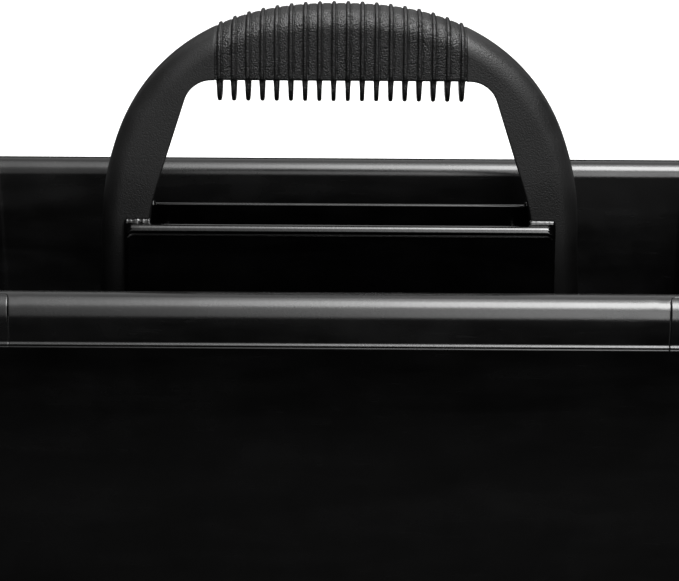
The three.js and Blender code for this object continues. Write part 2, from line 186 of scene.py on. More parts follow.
class Skin:
    """Collects closed skins, each made from rings of points, into one mesh."""

    def __init__(self):
        self.points = []
        self.faces = []
        self.flat_faces = []

    def rings(self, rings, wrap=False):
        """Joins equal rings. wrap joins the last to the first, or else both ends are capped."""
        start, count = len(self.points), len(rings[0])
        for ring in rings:
            self.points.extend(tuple(float(v) for v in p) for p in ring)
        spans = len(rings) if wrap else len(rings) - 1
        for r in range(spans):
            here = start + r * count
            there = start + (r + 1) % len(rings) * count
            for i in range(count):
                j = (i + 1) % count
                self.faces.append((here + i, here + j, there + j, there + i))
        if not wrap:
            last = start + (len(rings) - 1) * count
            self.flat_faces += [len(self.faces), len(self.faces) + 1]
            self.faces.append(tuple(range(start + count - 1, start - 1, -1)))
            self.faces.append(tuple(range(last, last + count)))

    def make(self, name, material, replaced):
        """The finished piece, in metres, riding on the one body."""
        mesh = bpy.data.meshes.new(name)
        mesh.from_pydata([Vector(p) * MM for p in self.points], [], self.faces)
        mesh.update()
        face_outwards(mesh)
        mesh.polygons.foreach_set("use_smooth", [True] * len(mesh.polygons))
        for face in self.flat_faces:
            mesh.polygons[face].use_smooth = False
        piece = bpy.data.objects.new(name, mesh)
        bpy.context.scene.collection.objects.link(piece)
        mesh.materials.append(material)
        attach(piece, "root")
        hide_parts(*replaced)
        return piece


def face_outwards(mesh):
    """Turns every closed skin of the mesh so that its faces point out."""
    work = bmesh.new()
    work.from_mesh(mesh)
    bmesh.ops.recalc_face_normals(work, faces=work.faces)
    work.to_mesh(mesh)
    work.free()


def rounded_box(skin, low, high, radius):
    """A box with all its upright edges rounded, and softened top and bottom edges."""
    soft = min(radius, (high[2] - low[2]) / 2.5)
    inset_rings = [(soft * (1 - math.sin(t)), low[2] + soft * (1 - math.cos(t)))
                   for t in np.linspace(0, math.pi / 2, 4)]
    inset_rings += [(inset, high[2] + low[2] - z) for inset, z in reversed(inset_rings)]
    half = [(high[i] - low[i]) / 2 for i in range(2)]
    middle = [(high[i] + low[i]) / 2 for i in range(2)]
    rings = []
    for inset, z in inset_rings:
        corner = max(radius - inset, 0.05)
        ring = []
        for sx, sy, start in ((1, 1, 0), (-1, 1, 90), (-1, -1, 180), (1, -1, 270)):
            a = middle[0] + sx * (half[0] - radius)
            b = middle[1] + sy * (half[1] - radius)
            ring += [(x, y, z) for x, y in arc(a, b, corner, start, start + 90, 4)]
        rings.append(ring)
    skin.rings(rings)


def cylinder(skin, x, y, levels):
    """A turned solid on an upright axis, from (radius, z) levels."""
    turn = np.linspace(0, 2 * math.pi, 32, endpoint=False)
    rings = []
    for radius, z in levels:
        rings.append([(x + radius * math.cos(t), y + radius * math.sin(t), z) for t in turn])
    skin.rings(rings)


# ---------------------------------------------------------------- tub

# How far back from a corner's arc the skin is divided along the straight sides. The
# stations crowd together at the seam of the corner guard.
SEAM_BACKS = [0, 6, 13, 20, 26, 29]
SEAM_BACKS += [GUARD_ARM + past for past in
               (-1.9, -1.0, -0.5, -0.2, -0.05, 0.1, 0.3, 0.7, 1.5, 3.5, 7.5, 13.5)]


def seam_lean(back, z):
    """How far the seam leans towards the corner at height z, fading out along the side."""
    lean_at_rim = 0.8
    rise = (z - SKIRT_BOTTOM) / (RIM_Z - SKIRT_BOTTOM)
    return lean_at_rim * rise * smooth_step((back - 13) / 15) * smooth_step((62 - back) / 24)


def guard_reach(back):
    """Degrees up the roll to a guard's upper edge, which turns down in a round at the seam."""
    short = GUARD_ROUND - min(max(GUARD_ARM - back, 0.0), GUARD_ROUND)
    drop = GUARD_ROUND - math.sqrt(GUARD_ROUND ** 2 - short ** 2)
    fade = 1 - smooth_step((back - GUARD_ARM) / 8)
    return GUARD_TOP - math.degrees(drop / ROLL_R) * fade


def plan_stations():
    """Stations all round the plan as (sign of x, sign of y, degrees, back)."""
    end_side = SEAM_BACKS + list(np.linspace(SEAM_BACKS[-1], CORE_Y, 12)[1:])
    long_side = SEAM_BACKS + list(np.linspace(SEAM_BACKS[-1], CORE_X, 20)[1:])
    quarter = [(0.0, back) for back in reversed(end_side)]
    quarter += [(float(t), 0.0) for t in np.linspace(0, 90, 21)[1:-1]]
    quarter += [(90.0, back) for back in long_side]
    stations = []
    for sx, sy, forward in ((1, 1, True), (-1, 1, False), (-1, -1, True), (1, -1, False)):
        ordered = quarter if forward else quarter[::-1]
        stations += [(sx, sy, degrees, back) for degrees, back in ordered[:-1]]
    return stations


def plan_point(station, offset, z):
    """The point of the plan grown by offset, at height z."""
    sx, sy, degrees, back = station
    radius = max(offset, CORNER_MIN)
    centre_x, centre_y = CORE_X + offset - radius, CORE_Y + offset - radius
    moved = back - seam_lean(back, z) if offset > OUTER - 12 else back
    if degrees == 0:
        centre_y *= 1 - moved / CORE_Y
    if degrees == 90:
        centre_x *= 1 - moved / CORE_X
    turn = math.radians(degrees)
    return (sx * (centre_x + radius * math.cos(turn)), sy * (centre_y + radius * math.sin(turn)), z)


def skirt_edge():
    """Section of the skirt's lower edge: two fine beads, one above the other."""
    low = SKIRT_BOTTOM
    lower = arc(OUTER + 0.42, low + 0.42, 0.42, -90, 50, 8)
    upper = arc(OUTER + 0.3, low + 1.7, 0.58, -55, 72, 8)
    return lower + upper + [(OUTER + 0.16, low + 2.4), (OUTER + 0.03, low + 2.7)]


def rebate_depth(back):
    """Depth of the rebate for a guard, which ends in a small round just past the seam."""
    past = back - GUARD_ARM
    if past < 0:
        return REBATE
    if past < 0.2:
        return 0.2
    return 0.03 if past < 0.4 else 0.0


def tub_section(back):
    """Section of the tub from the middle of its underside round to its inner floor."""
    foot_out = BASE_OFFSET - BASE_ROUND
    foot_in = foot_out - FOOT_W
    roll_in = ROLL_R - TUB_WALL
    skirt_in = OUTER - TUB_WALL
    inner_base = BASE_OFFSET - TUB_WALL
    cut = rebate_depth(back)
    reach = guard_reach(back)
    outside = [*skirt_edge(), (OUTER, SKIRT_BOTTOM + 3.0),
               *line((OUTER, SKIRT_BOTTOM + 3.3), (OUTER, ROLL_Z), 4)[:-1]]
    if cut:
        outside = [(min(offset, OUTER + SKIRT_BEAD * (1 - cut / REBATE) - cut), z)
                   for offset, z in outside]
    return [
        (foot_in - 40, FOOT_H), (foot_in - 8, FOOT_H),
        *round_corner((foot_in - 8, FOOT_H), (foot_in - 0.7, FOOT_H), (foot_in, 0), 0.6, 3),
        *round_corner((foot_in - 0.7, FOOT_H), (foot_in, 0), (foot_out, 0), 0.5, 3),
        *arc(foot_out, BASE_ROUND, BASE_ROUND, -90, 0, 10),
        *line((BASE_OFFSET, BASE_ROUND), (ROLL_OFFSET - roll_in, ROLL_Z), 16)[1:-1],
        *arc(ROLL_OFFSET, ROLL_Z, roll_in, 180, 0, 14),
        *line((skirt_in, ROLL_Z), (skirt_in, SKIRT_BOTTOM + 0.5), 4)[1:],
        (skirt_in + 0.15, SKIRT_BOTTOM + 0.12), (skirt_in + 0.5, SKIRT_BOTTOM),
        *outside,
        *arc(ROLL_OFFSET, ROLL_Z, ROLL_R - cut, 0, reach, 16),
        *arc(ROLL_OFFSET, ROLL_Z, ROLL_R, reach + GUARD_BARE, 90, 4),
        *arc(INNER_OFFSET + ROLL_IN_R, RIM_Z - ROLL_IN_R, ROLL_IN_R, 90, 180, 18),
        *line((INNER_OFFSET, RIM_Z - ROLL_IN_R), (inner_base, FLOOR_Z + 4), 18)[1:-1],
        *arc(inner_base - 4, FLOOR_Z + 4, 4, 0, -90, 6),
        (inner_base - 10, FLOOR_Z), (inner_base - 40, FLOOR_Z),
    ]


def flash(point):
    """The ragged trace of flash along the very edge of the skirt."""
    x, y, z = point
    if abs(z - SKIRT_BOTTOM) > 0.3:
        return point
    depth = max(0.0, noise.noise(Vector((x * 0.55, y * 0.55, 3.0))) - 0.1)
    return (x, y, z - 0.9 * depth)


def build_tub(material):
    stations = plan_stations()
    sections = [[flash(plan_point(station, offset, z)) for offset, z in tub_section(station[3])]
                for station in stations]
    skin = Skin()
    skin.rings([list(ring) for ring in zip(*sections)])
    return skin.make("tub_shell", material, ["tub"])


# ---------------------------------------------------------------- corner guards


def guard_section(reach, thin):
    """Section of a guard as (offset, z) points. thin takes a little off the outside."""
    outer = [*arc(ROLL_OFFSET, ROLL_Z, ROLL_R - thin, reach, 0, 16),
             *line((OUTER - thin, ROLL_Z), (OUTER - thin, SKIRT_BOTTOM + 3.3), 4)[1:],
             (OUTER - thin, SKIRT_BOTTOM + 3.0),
             *[(offset - thin, z) for offset, z in reversed(skirt_edge())]]
    inner_r = ROLL_R - GUARD_T
    inner = [*arc(ROLL_OFFSET, ROLL_Z, inner_r, reach, 0, 16),
             *line((ROLL_OFFSET + inner_r, ROLL_Z), (ROLL_OFFSET + inner_r, SKIRT_BOTTOM), 6)[1:]]
    lip = arc(ROLL_OFFSET, ROLL_Z, ROLL_R - GUARD_T / 2, reach + 0.7, reach + 0.7, 0)
    return inner[::-1] + lip + outer


def build_guard(name, sx, sy, material, node):
    """A thin cap over one corner of the skirt, with a rounded upper corner at each end."""
    backs = [GUARD_ARM - SEAM_GAP - d for d in
             (0, 0.05, 0.14, 0.28, 0.48, 0.7, 0.95, 1.3, 1.9, 2.6, 3.3, 4.5, 7, 12, 19, 26)]
    stations = [(0.0, back) for back in backs]
    stations += [(float(t), 0.0) for t in np.linspace(0, 90, 25)]
    stations += [(90.0, back) for back in reversed(backs)]
    rings = []
    for degrees, back in stations:
        along = GUARD_ARM - SEAM_GAP - back
        rounded = min(1.0, along / 0.6)
        thin = 0.3 * (1 - math.sqrt(rounded * (2 - rounded)))
        station = (sx, sy, degrees, back)
        section = guard_section(guard_reach(back + SEAM_GAP), thin)
        rings.append([plan_point(station, offset, z) for offset, z in section])
    skin = Skin()
    skin.rings(rings)
    return skin.make(name, material, [node])


# ---------------------------------------------------------------- centre well


def well_wall(skin, side):
    """One side wall with its lip, tight inside and wide outside, turned down at both ends."""
    half = WELL_WALL / 2
    foot = WELL_FLOOR_Z - WELL_SINK
    under_in, under_out = LIP_TOP - 2 * LIP_IN_R, LIP_TOP - 2 * LIP_OUT_R
    profile = [
        *line((-half, foot), (-half, under_in - 2), 10),
        (-half, under_in - 0.8), (-half, under_in - 0.3),
        *arc(LIP_IN_R - half - 0.1, LIP_TOP - LIP_IN_R, LIP_IN_R, 190, 90, 12),
        *arc(-0.2, LIP_TOP - LIP_OUT_R, LIP_OUT_R, 90, -56, 18),
        (half + 0.05, under_out + 0.3), (half, under_out + 0.1),
        (half, under_out - 0.2), (half, under_out - 0.9),
        *line((half, under_out - 2), (half, foot), 10),
    ]
    straight = WELL_X - LIP_BEND
    stations = []
    for turn in np.radians(np.linspace(90, 0, 9)):
        stations.append((-straight - LIP_BEND * math.sin(turn), LIP_BEND * (1 - math.cos(turn))))
    middle = [(x, 0.0) for x in np.linspace(-straight, straight, 60)[1:-1]]
    stations += middle + [(-x, drop) for x, drop in reversed(stations)]
    rings = []
    for x, drop in stations:
        to_end = WELL_X - abs(x)
        thin = 1 - 0.3 * smooth_step(1 - to_end / 0.7)
        ring = []
        for y, z in profile:
            share = smooth_step((z - LIP_BEND_LOW) / LIP_BEND_SPAN)
            ring.append((x, side * (WELL_Y + y * thin), z - drop * share))
        rings.append(ring)
    skin.rings(rings)


def guide_lug(skin, end, side):
    """A lug between a side wall and a leg. Its moulded top is rough at the left end."""
    near, far = HALF_D + 0.3, WELL_Y - WELL_WALL / 2 + 0.4
    foot = WELL_FLOOR_Z - WELL_SINK
    rough_end = end < 0
    top = LUG_TOP - (0.45 if rough_end else 0.1)
    columns, rows = 26, 9
    rings = []
    for j in range(rows + 1):
        v = j / rows
        y = near + (far - near) * v
        crest = top - 1.6 * (2 * v - 1) ** 4
        upper = []
        for i in range(columns + 1):
            u = i / columns
            x = LUG_X[0] + (LUG_X[1] - LUG_X[0]) * u
            edge = min(u, 1 - u) * (LUG_X[1] - LUG_X[0])
            fall = LUG_EDGE - math.sqrt(max(LUG_EDGE ** 2 - max(0.0, LUG_EDGE - edge) ** 2, 0.0))
            rough = noise.noise(Vector((end * x * 0.9, side * y * 0.9, 5.0)))
            fine = noise.noise(Vector((end * x * 2.3, side * y * 2.3, 9.0)))
            bumps = (0.8 * rough + 0.6 * fine) * (1.0 if rough_end else 0.2)
            upper.append((end * x, side * y, min(crest - fall + bumps, LUG_TOP)))
        down = [(end * LUG_X[1], side * y, z) for z in np.linspace(LUG_SIDE_TOP, foot, 4)]
        up = [(end * LUG_X[0], side * y, z) for z in np.linspace(foot, LUG_SIDE_TOP, 4)]
        rings.append(upper + down + up)
    skin.rings(rings)


def build_well(material):
    skin = Skin()
    rounded_box(skin, well_low, (well_high[0], well_high[1], WELL_FLOOR_Z), FLANGE_ROUND)
    for side in (-1, 1):
        well_wall(skin, side)
        for end in (-1, 1):
            guide_lug(skin, end, side)
    for end in (-1, 1):
        xs = sorted((end * END_WALL_X, end * (END_WALL_X - WELL_WALL)))
        low = (xs[0], -WELL_Y, WELL_FLOOR_Z - WELL_SINK)
        rounded_box(skin, low, (xs[1], WELL_Y, RIM_Z - 8), 0.9)
    return skin.make("centre_well_insert", material, ["centre_well"])


# ---------------------------------------------------------------- handle


def arch_point(angle):
    """Point and outward normal of the arch's outline, angle from the top in radians."""
    across, up = math.sin(angle) / ARCH_X, math.cos(angle) / ARCH_H
    reach = (across ** ARCH_POWER + up ** ARCH_POWER) ** (-1 / ARCH_POWER)
    x, z = reach * math.sin(angle), reach * math.cos(angle)
    slope = np.array([(x / ARCH_X) ** (ARCH_POWER - 1) / ARCH_X,
                      (z / ARCH_H) ** (ARCH_POWER - 1) / ARCH_H])
    return np.array([x, ARCH_Z + z]), slope / np.linalg.norm(slope)


def arch_at_x(x):
    """Height and tilt (radians from vertical) of the arch's outline at x, by bisection."""
    low, high = 0.0, math.pi / 2
    for _ in range(40):
        middle = (low + high) / 2
        if arch_point(middle)[0][0] < abs(x):
            low = middle
        else:
            high = middle
    point, normal = arch_point(low)
    return point[1], math.atan2(normal[0], normal[1])


def opening_outline():
    """Inner outline of the right half of the handle, from the middle down to the foot."""
    top, waist, foot = (73.3, OPENING_Z), (95.0, RIM_Z + 6.5), (LEG_INNER_X, FOOT_Z)
    return np.array([
        (0.0, OPENING_Z),
        *round_corner((0, OPENING_Z), top, waist, 14, 24),
        *round_corner(top, waist, foot, 110, 16),
        foot, (LEG_INNER_X + 0.5, FOOT_Z - 10)])


OPENING = opening_outline()


def hit_opening(origin, direction):
    """Distance from origin along direction to the inner outline."""
    best = None
    for a, b in zip(OPENING[:-1], OPENING[1:]):
        edge = b - a
        det = direction[0] * -edge[1] + direction[1] * edge[0]
        if abs(det) < 1e-12:
            continue
        to_a = a - origin
        distance = (to_a[0] * -edge[1] + to_a[1] * edge[0]) / det
        share = (direction[0] * to_a[1] - direction[1] * to_a[0]) / det
        if -1e-9 <= share <= 1 + 1e-9 and distance > 0 and (best is None or distance < best):
            best = distance
    return best


def leg_stations():
    """Stations down one leg, from the grip to the foot.

    Each is the outer point, the direction inwards, the outer normal, the distance from
    the grip and the height above the foot, with a far value where either doesn't matter.
    """
    far = 999.0
    first = GRIP_X + 0.05
    start = next(t for t in np.linspace(0, 1.5, 3000) if arch_point(t)[0][0] >= first)
    angles = np.concatenate([
        start + np.array([0, 0.004, 0.012, 0.03, 0.045, 0.06, 0.075, 0.09]),
        np.linspace(start + 0.12, math.pi / 2, 44)])
    stations, travelled, before = [], 0.0, None
    for angle in angles:
        point, normal = arch_point(angle)
        travelled += 0.0 if before is None else float(np.linalg.norm(point - before))
        before = point
        turn = smooth_step(travelled / 45.0)
        direction = np.array([0.0, -1.0]) * (1 - turn) - normal * turn
        stations.append((point, direction / np.linalg.norm(direction), normal, travelled, far))
    drop = ARCH_Z - FOOT_Z
    lean = (LEG_X - ARCH_X) / drop
    heights = list(np.linspace(drop, 8, 24))[1:] + [6, 4.4, 3.4, 2.6, 1.8, 1.0, 0.4, 0.0]
    side = np.array([1.0, lean]) / math.hypot(1.0, lean)
    for height in heights:
        point = np.array([LEG_X - lean * height, FOOT_Z + height])
        stations.append((point, np.array([-1.0, 0.0]), side, far, height))
    return stations


def leg_section(depth, skew, pocket):
    """Section of the hollow leg as (depth from the outside, y) points.

    skew stretches the outer rounding where the section isn't square to the outline,
    and pocket is how much of the full hollow there is here, from 0 to 1.
    """
    edge, lip = 0.8, 0.5
    reach = HANDLE_ROUND / skew
    face = []
    face += arc(depth - edge, -HALF_D + edge, edge, 0, -90, 4)
    face += line((depth - edge - 0.4, -HALF_D), (reach, -HALF_D), 5)
    for t in np.radians(np.linspace(0, 90, 12))[1:]:
        face.append((reach * (1 - math.sin(t)), -HALF_D + HANDLE_ROUND * (1 - math.cos(t))))
    face += line(face[-1], (0, 0), 3)[1:]
    wall = HALF_D - HANDLE_SHELL
    bend = HANDLE_ROUND - HANDLE_SHELL
    hollow = [(depth, wall + lip), (depth - lip * 0.3, wall + lip * 0.3), (depth - lip, wall)]
    hollow.append((depth - lip - 0.15, wall))
    hollow += line((depth - lip - 0.6, wall), (HANDLE_SHELL + bend, wall), 4)
    hollow += arc(HANDLE_SHELL + bend, wall - bend, bend, 90, 180, 6)[1:]
    hollow += line(hollow[-1], (HANDLE_SHELL, 0), 2)[1:]
    hollow = [(depth - (depth - t) * pocket, y) for t, y in hollow]
    other_face = [(t, -y) for t, y in face[-2::-1]]
    other_hollow = [(t, -y) for t, y in hollow[-2::-1]]
    return face + other_face + hollow + other_hollow


def leg(skin, end):
    """One side of the arch with its leg, hollow and open to the inside."""
    rings = []
    for point, direction, normal, travelled, height in leg_stations():
        depth = hit_opening(point, direction)
        skew = max(0.3, float(-direction @ normal))
        pocket = 0.03 + 0.97 * min(smooth_step((travelled - 3.4) / 2.6),
                                   smooth_step((height - 2.2) / 1.6))
        shrink = max(0.08 * smooth_step(1 - travelled / 0.3), 0.25 * smooth_step(1 - height / 0.6))
        ring = []
        for t, y in leg_section(depth, skew, pocket):
            t = shrink + t * (depth - 2 * shrink) / depth
            x, z = point + direction * t
            ring.append((end * x, y * (1 - shrink / HALF_D), z))
        rings.append(ring)
    skin.rings(rings)


def outer_x(z):
    """Outside of the leg at height z."""
    if z <= ARCH_Z:
        return LEG_X - (LEG_X - ARCH_X) * (z - FOOT_Z) / (ARCH_Z - FOOT_Z)
    up = ((z - ARCH_Z) / ARCH_H) ** ARCH_POWER
    return ARCH_X * (1 - up) ** (1 / ARCH_POWER)


def inner_x(z):
    """Inside of the leg at height z."""
    return 300 - hit_opening(np.array([300.0, z]), np.array([-1.0, 0.0]))


def leg_rib(skin, end, z):
    """A level plate across the hollow of a leg."""
    low_x = inner_x(z) + 3.5
    high_x = min(outer_x(z), outer_x(z + 2)) - HANDLE_SHELL + 0.4
    half = HALF_D - HANDLE_SHELL + 0.3
    rings = []
    for inset, level in ((0.5, z), (0.12, z + 0.15), (0.0, z + 0.6), (0.0, z + 1.4),
                         (0.12, z + 1.85), (0.5, z + 2)):
        outline = [
            *arc(high_x - 6.4, half - 6.4, 6.4, 0, 90, 6),
            (low_x + inset, half), (low_x + inset, -half),
            *arc(high_x - 6.4, -half + 6.4, 6.4, 270, 360, 6)]
        rings.append([(end * x, y, level) for x, y in outline])
    skin.rings(rings)


def grip_section(x, inset, lower_round):
    """Section of the grip across the handle at x, as (y, z) points, shrunk by inset."""
    top, tilt = arch_at_x(x)
    stretch = 1 / math.cos(tilt)
    half = HALF_D - inset
    top -= inset * stretch
    bottom = OPENING_Z + inset
    across = HANDLE_ROUND - inset
    up = across * stretch
    quarter = [(0.0, bottom), *line((0, bottom), (-half + lower_round, bottom), 4)[1:]]
    quarter += arc(-half + lower_round, bottom + lower_round, lower_round, 270, 180, 4)[1:]
    quarter += line((-half, bottom + lower_round), (-half, top - up), 8)[1:]
    for t in np.radians(np.linspace(0, 90, 12))[1:]:
        quarter.append((-half + across * (1 - math.cos(t)), top - up * (1 - math.sin(t))))
    quarter += line(quarter[-1], (0.0, top), 3)[1:]
    return quarter + [(-y, z) for y, z in quarter[-2:0:-1]]


def build_handle(material):
    skin = Skin()
    for end in (-1, 1):
        leg(skin, end)
        for z in RIB_LEVELS:
            leg_rib(skin, end, z)
        for side in (-1, 1):
            levels = [(BOSS_R, FOOT_Z + 1), (BOSS_R, BOSS_TOP - 1.2), (BOSS_R - 0.4, BOSS_TOP - 0.3),
                      (BOSS_R - 1.2, BOSS_TOP), (0.3, BOSS_TOP)]
            cylinder(skin, end * SCREW_X, side * SCREW_Y, levels)
    core = [[(x, y, z) for y, z in grip_section(x, GRIP_WALL + 0.3, 1.0)]
            for x in np.linspace(-GRIP_X - 2.5, GRIP_X + 2.5, 33)]
    skin.rings(core)
    return skin.make("handle_arch", material, ["handle"])


# ---------------------------------------------------------------- grip


def bead_height(distance):
    """How far a bead stands out at this distance from its middle, with a shallow groove beside it."""
    d = abs(distance)
    crown = BEAD_PROUD * math.sqrt(1 - (d / 0.98) ** 2.4) if d < 0.98 else 0.0
    groove = 0.38 * math.exp(-((d - 1.35) / 0.36) ** 2)
    return crown - groove * smooth_step((d - 0.8) / 0.4)


def sleeve_ring(x, lift, shrink=0.0):
    """Outside of the sleeve at x, with its beads lifted off the front, back and top."""
    ring = []
    top, tilt = arch_at_x(x)
    for y, z in grip_section(x, shrink, 1.5):
        free = smooth_step((z - OPENING_Z - 0.2) / 1.2)
        on_side = abs(abs(y) - HALF_D + shrink) < 0.02
        if on_side:
            out = np.array([math.copysign(1.0, y), 0.0])
        elif abs(y) > HALF_D - HANDLE_ROUND:
            corner = np.array([math.copysign(HALF_D - HANDLE_ROUND, y),
                               top - HANDLE_ROUND / math.cos(tilt)])
            out = np.array([y, z]) - corner
            out /= max(np.linalg.norm(out), 1e-6)
        else:
            out = np.array([0.0, 1.0])
        step = out * lift * free
        ring.append((x, y + step[0], z + step[1]))
    return ring


def fin(skin, x):
    """A plate across the grip, tapering downwards, with a round lower edge."""
    spring = FIN_Z + FIN_ROUND_H
    top = OPENING_Z + 0.6
    layers = [(1.1, -1.0), (0.6, -0.93), (0.25, -0.75), (0.06, -0.48), (0.0, -0.2)]
    layers += [(inset, -share) for inset, share in reversed(layers)]
    rings = []
    for inset, share in layers:
        ring = []
        outline = [(-FIN_HALF_Y + inset, top)] + [
            (-(FIN_HALF_Y - inset) * math.cos(t), spring - (FIN_ROUND_H - inset) * math.sin(t))
            for t in np.linspace(0, math.pi, 31)] + [(FIN_HALF_Y - inset, top)]
        for y, z in outline:
            root = smooth_step((z - FIN_Z) / (OPENING_Z - FIN_Z))
            half = 1.08 + 0.17 * root + 0.35 * smooth_step((z - OPENING_Z + 1.0) / 1.0)
            ring.append((x + share * half, y, z))
        rings.append(ring)
    skin.rings(rings)


def build_grip(material):
    skin = Skin()
    near = [-2.4, -2.0, -1.7, -1.45, -1.25, -1.08, -0.97, -0.9, -0.78, -0.6, -0.38, -0.18, 0.0]
    near += [-d for d in reversed(near[:-1])]
    places = sorted({round(x + d, 4) for x in RIB_PLACES for d in near
                     if abs(x + d) < GRIP_X - 0.3})
    outside = [sleeve_ring(-GRIP_X, 0.0, 0.12), sleeve_ring(-GRIP_X + 0.12, 0.0)]
    for x in places:
        lift = sum(bead_height(x - rib) for rib in RIB_PLACES if abs(x - rib) < 3.4)
        outside.append(sleeve_ring(x, lift))
    outside += [sleeve_ring(GRIP_X - 0.12, 0.0), sleeve_ring(GRIP_X, 0.0, 0.12)]
    bore = [[(x, y, z) for y, z in grip_section(x, GRIP_WALL, 1.0)]
            for x in np.linspace(GRIP_X, -GRIP_X, 13)]
    skin.rings(outside + bore, wrap=True)
    for x in RIB_PLACES:
        fin(skin, x)
    return skin.make("grip_finned", material, ["grip_sleeve"])


# ---------------------------------------------------------------- screws


def build_screw(name, x, y, material, node):
    """A pan-head screw seen from below, with a cross recess in its head."""
    low, high = node_box(node)
    head_r = (high[0] - low[0]) / 2
    turn = np.linspace(0, 2 * math.pi, 64, endpoint=False)

    def ring(radius, z, cross=0.0):
        points = []
        for t in turn:
            lobe = max(0.0, math.cos(2 * t) ** 2 * 2 - 1)
            points.append((x + radius * math.cos(t), y + radius * math.sin(t), z + cross * lobe))
        return points

    head = [ring(0.25, low[2] + 1.3), ring(0.9, low[2] + 0.95, 0.25), ring(1.5, low[2] + 0.15, 0.8),
            ring(2.1, low[2] + 0.06, 0.45), ring(2.5, low[2] + 0.06), ring(3.3, low[2] + 0.25),
            ring(4.0, low[2] + 0.75), ring(head_r, low[2] + 1.25), ring(head_r, low[2] + 1.9),
            ring(head_r - 0.25, low[2] + 2.1), ring(2.2, low[2] + 2.1)]
    thread = []
    z = low[2] + 2.6
    while z < high[2] - 3.5:
        thread += [ring(1.55, z), ring(2.0, z + 0.45), ring(2.0, z + 0.55), ring(1.55, z + 1.0)]
        z += 1.4
    tip = [ring(1.5, high[2] - 2.4), ring(0.25, high[2])]
    skin = Skin()
    skin.rings(head + thread + tip)
    return skin.make(name, material, [node])


# ---------------------------------------------------------------- materials


class Graph:
    """A material's node tree, with short calls for the nodes used here."""

    def __init__(self, name):
        self.material = bpy.data.materials.new(name)
        self.material.use_nodes = True
        self.nodes = self.material.node_tree.nodes
        self.links = self.material.node_tree.links
        self.shader = self.nodes["Principled BSDF"]
        self.place = self.nodes.new("ShaderNodeTexCoord").outputs["Object"]

    def stretched(self, scale):
        """Object coordinates scaled differently along each axis."""
        mapping = self.nodes.new("ShaderNodeMapping")
        mapping.inputs["Scale"].default_value = scale
        self.links.new(self.place, mapping.inputs["Vector"])
        return mapping.outputs["Vector"]

    def noise(self, scale, detail=2.0, rough=0.5, vector=None, distortion=0.0):
        node = self.nodes.new("ShaderNodeTexNoise")
        node.inputs["Scale"].default_value = scale
        node.inputs["Detail"].default_value = detail
        node.inputs["Roughness"].default_value = rough
        node.inputs["Distortion"].default_value = distortion
        self.links.new(vector or self.place, node.inputs["Vector"])
        return node.outputs["Fac"]

    def cells(self, scale):
        """Distance to the nearest cell point of a Voronoi pattern."""
        node = self.nodes.new("ShaderNodeTexVoronoi")
        node.inputs["Scale"].default_value = scale
        self.links.new(self.place, node.inputs["Vector"])
        return node.outputs["Distance"]

    def along(self, axis):
        """Object coordinate along one axis, in metres."""
        node = self.nodes.new("ShaderNodeSeparateXYZ")
        self.links.new(self.place, node.inputs["Vector"])
        return node.outputs[axis]

    def spread(self, value, low, high, to_low, to_high):
        """Maps a value's range low..high to to_low..to_high, clamped."""
        node = self.nodes.new("ShaderNodeMapRange")
        for name, number in (("From Min", low), ("From Max", high),
                             ("To Min", to_low), ("To Max", to_high)):
            node.inputs[name].default_value = number
        self.links.new(value, node.inputs["Value"])
        return node.outputs["Result"]

    def math(self, operation, a, b):
        node = self.nodes.new("ShaderNodeMath")
        node.operation = operation
        for socket, value in zip(node.inputs, (a, b)):
            if isinstance(value, (int, float)):
                socket.default_value = value
            else:
                self.links.new(value, socket)
        return node.outputs["Value"]

    def colour(self, factor, dark, light):
        node = self.nodes.new("ShaderNodeMix")
        node.data_type = "RGBA"
        node.inputs["A"].default_value = (*dark, 1)
        node.inputs["B"].default_value = (*light, 1)
        self.links.new(factor, node.inputs["Factor"])
        self.links.new(node.outputs["Result"], self.shader.inputs["Base Color"])

    def roughness(self, value):
        self.links.new(value, self.shader.inputs["Roughness"])

    def bump(self, height, distance, strength=1.0):
        node = self.nodes.new("ShaderNodeBump")
        node.inputs["Distance"].default_value = distance
        node.inputs["Strength"].default_value = strength
        self.links.new(height, node.inputs["Height"])
        before = self.shader.inputs["Normal"]
        if before.is_linked:
            self.links.new(before.links[0].from_socket, node.inputs["Normal"])
        self.links.new(node.outputs["Normal"], before)


def gloss_plastic(name, dark, light, base_rough):
    """Moulded gloss plastic: flow marks, faint haze, fine scuffs and a slight orange peel."""
    g = Graph(name)
    flow = g.noise(9.0, 3.0, 0.55, g.stretched((1.0, 3.0, 6.0)), 0.4)
    haze = g.noise(38.0, 4.0, 0.6)
    specks = g.spread(g.noise(900.0, 2.0, 0.5), 0.66, 0.78, 0.0, 1.0)
    scratches = g.noise(260.0, 3.0, 0.7, g.stretched((0.12, 1.0, 1.4)), 1.2)
    scuffs = g.spread(scratches, 0.62, 0.75, 0.0, 1.0)
    tone = g.math("ADD", g.math("MULTIPLY", flow, 0.6), g.math("MULTIPLY", haze, 0.4))
    clouds = g.spread(tone, 0.35, 0.65, 0.0, 0.8)
    g.colour(g.math("ADD", clouds, g.math("MULTIPLY", specks, 0.5)), dark, light)
    rough = g.spread(tone, 0.3, 0.7, base_rough - 0.05, base_rough + 0.07)
    g.roughness(g.math("ADD", rough, g.math("MULTIPLY", scuffs, 0.05)))
    g.bump(g.noise(700.0, 2.0, 0.5), 0.00002)
    g.bump(g.math("SUBTRACT", 1.0, scuffs), 0.000006)
    g.bump(g.noise(14.0, 2.0, 0.5), 0.0003, 0.25)
    return g.material


